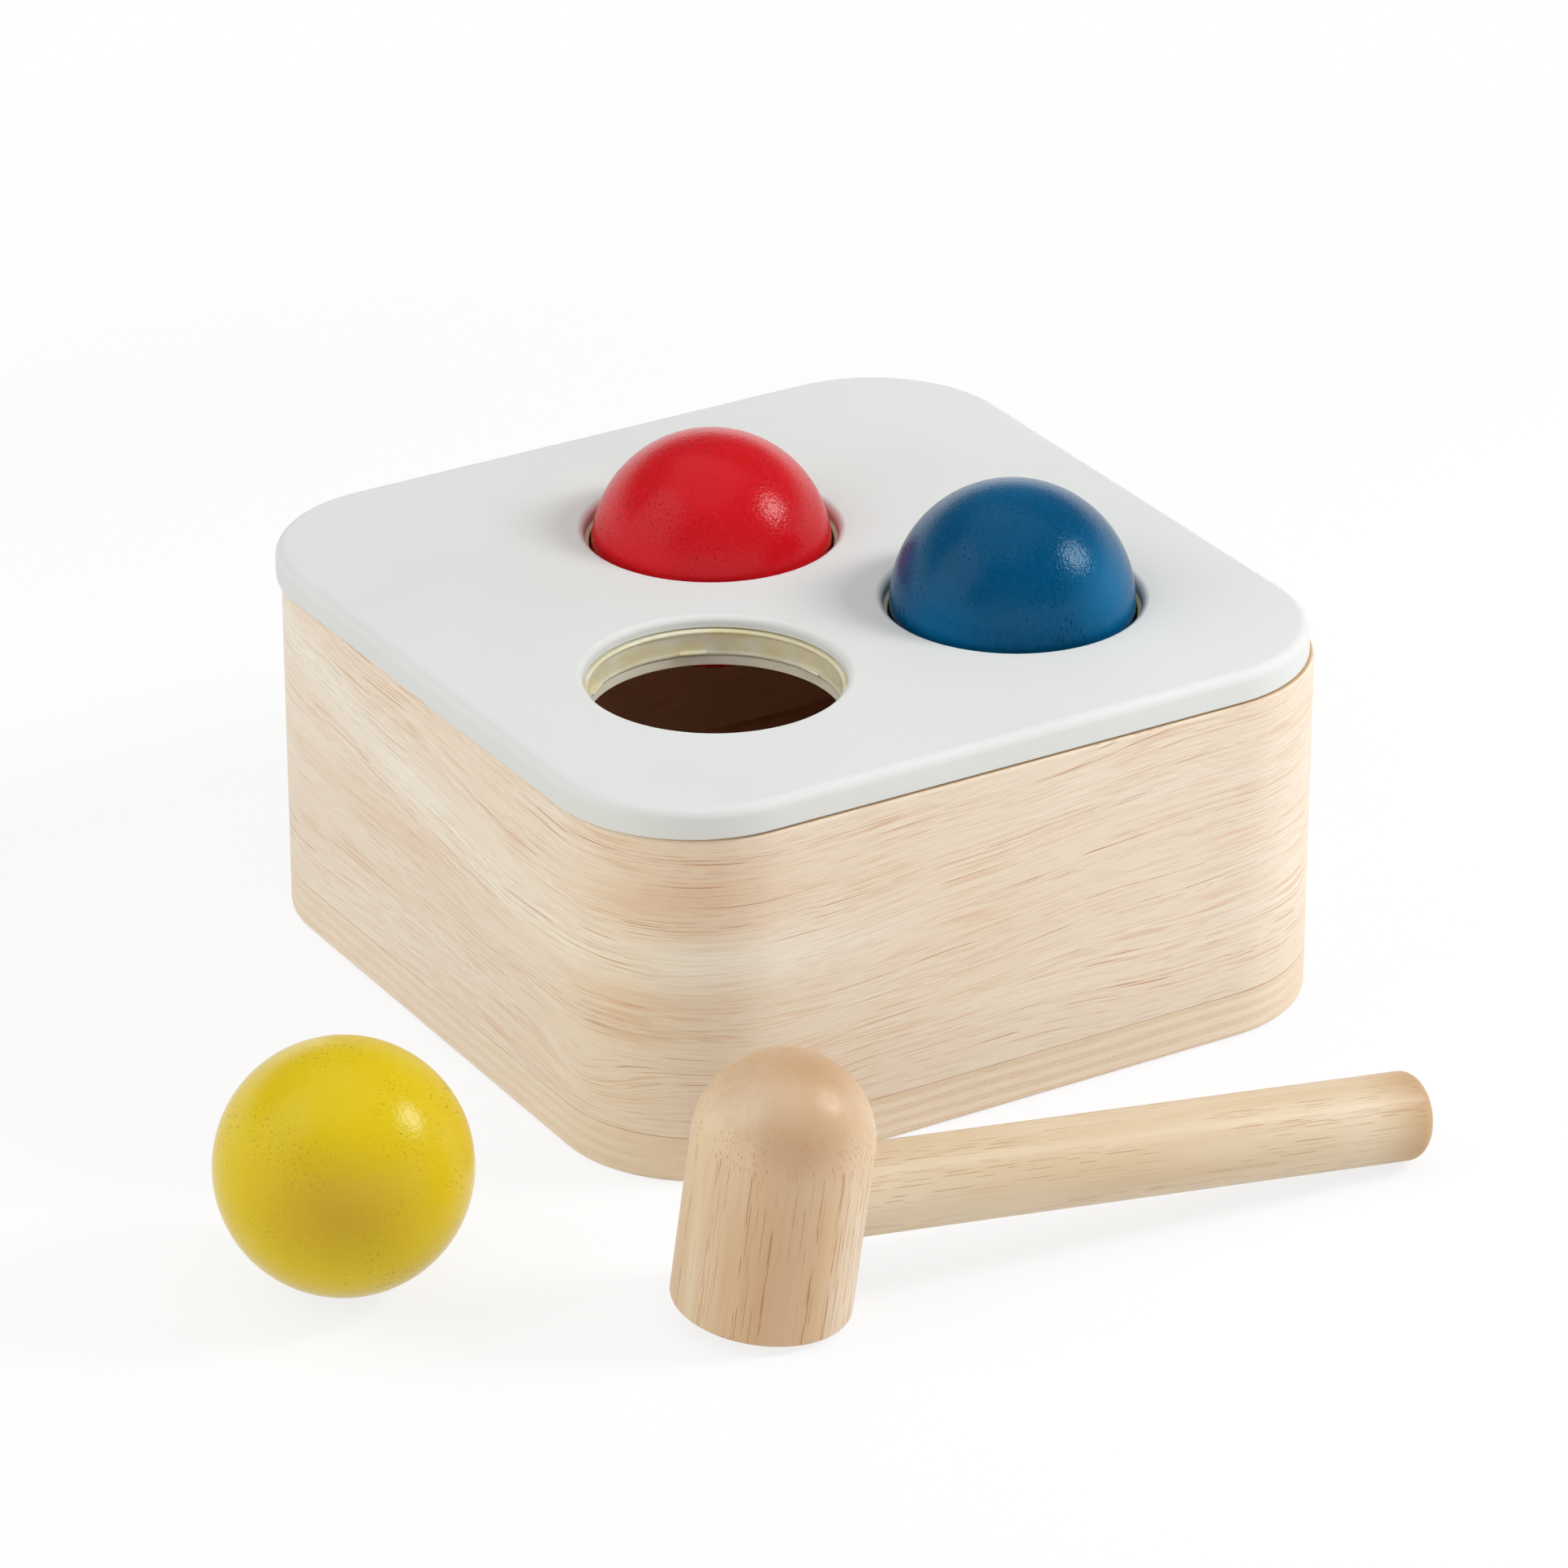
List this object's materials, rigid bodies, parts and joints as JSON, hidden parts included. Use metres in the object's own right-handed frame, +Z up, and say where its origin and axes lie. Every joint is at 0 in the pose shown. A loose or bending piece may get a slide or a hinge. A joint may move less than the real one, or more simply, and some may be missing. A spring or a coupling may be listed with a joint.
{
  "type": "ball pounding box",
  "caption": "Square wooden toy box with round corners and a white lift-off lid; painted balls sit in rubber-lined holes and are knocked through with a small wooden hammer.",
  "frame": {"origin": "middle of the box's underside, on the surface that it stands on", "axes": "+Z up; -Y is the front wall and -X the left wall, the two that the picture shows; +Y the back wall"},
  "size_m": [0.2343, 0.2154, 0.0964],
  "materials": {
    "box_wood": "clear satin lacquer",
    "base_wood": "plywood, clear satin lacquer",
    "lid_paint": "white satin paint",
    "ring_rubber": "milky moulded",
    "red_paint": "red satin paint",
    "blue_paint": "blue satin paint",
    "yellow_paint": "yellow satin paint",
    "head_wood": "clear satin lacquer",
    "handle_wood": "clear satin lacquer"
  },
  "bodies": {
    "box": {"box_walls": "box_wood", "base_panel": "base_wood"},
    "lid": {"lid": "lid_paint", "back_ring": "ring_rubber", "right_ring": "ring_rubber", "left_ring": "ring_rubber"},
    "red_ball": {"red_ball": "red_paint"},
    "blue_ball": {"blue_ball": "blue_paint"},
    "yellow_ball": {"yellow_ball": "yellow_paint"},
    "hammer": {"hammer_head": "head_wood", "hammer_handle": "handle_wood"}
  },
  "joints": [
    {"name": "lid_lift", "type": "slide", "parent": "box", "child": "lid", "axis": [0, 0, 1], "range_m": [0, 0.12]},
    {"name": "red_ball_push", "type": "slide", "parent": "lid", "child": "red_ball", "axis": [0, 0, 1], "range_m": [-0.038, 0.06], "deforming": ["back_ring"]},
    {"name": "blue_ball_push", "type": "slide", "parent": "lid", "child": "blue_ball", "axis": [0, 0, 1], "range_m": [-0.0415, 0.06], "deforming": ["right_ring"]},
    {"name": "yellow_ball_lift", "type": "slide", "parent": "box", "child": "yellow_ball", "axis": [0, 0, 1], "range_m": [0, 0.12]},
    {"name": "hammer_lift", "type": "slide", "parent": "box", "child": "hammer", "axis": [0, 0, 1], "range_m": [0, 0.15]}
  ]
}
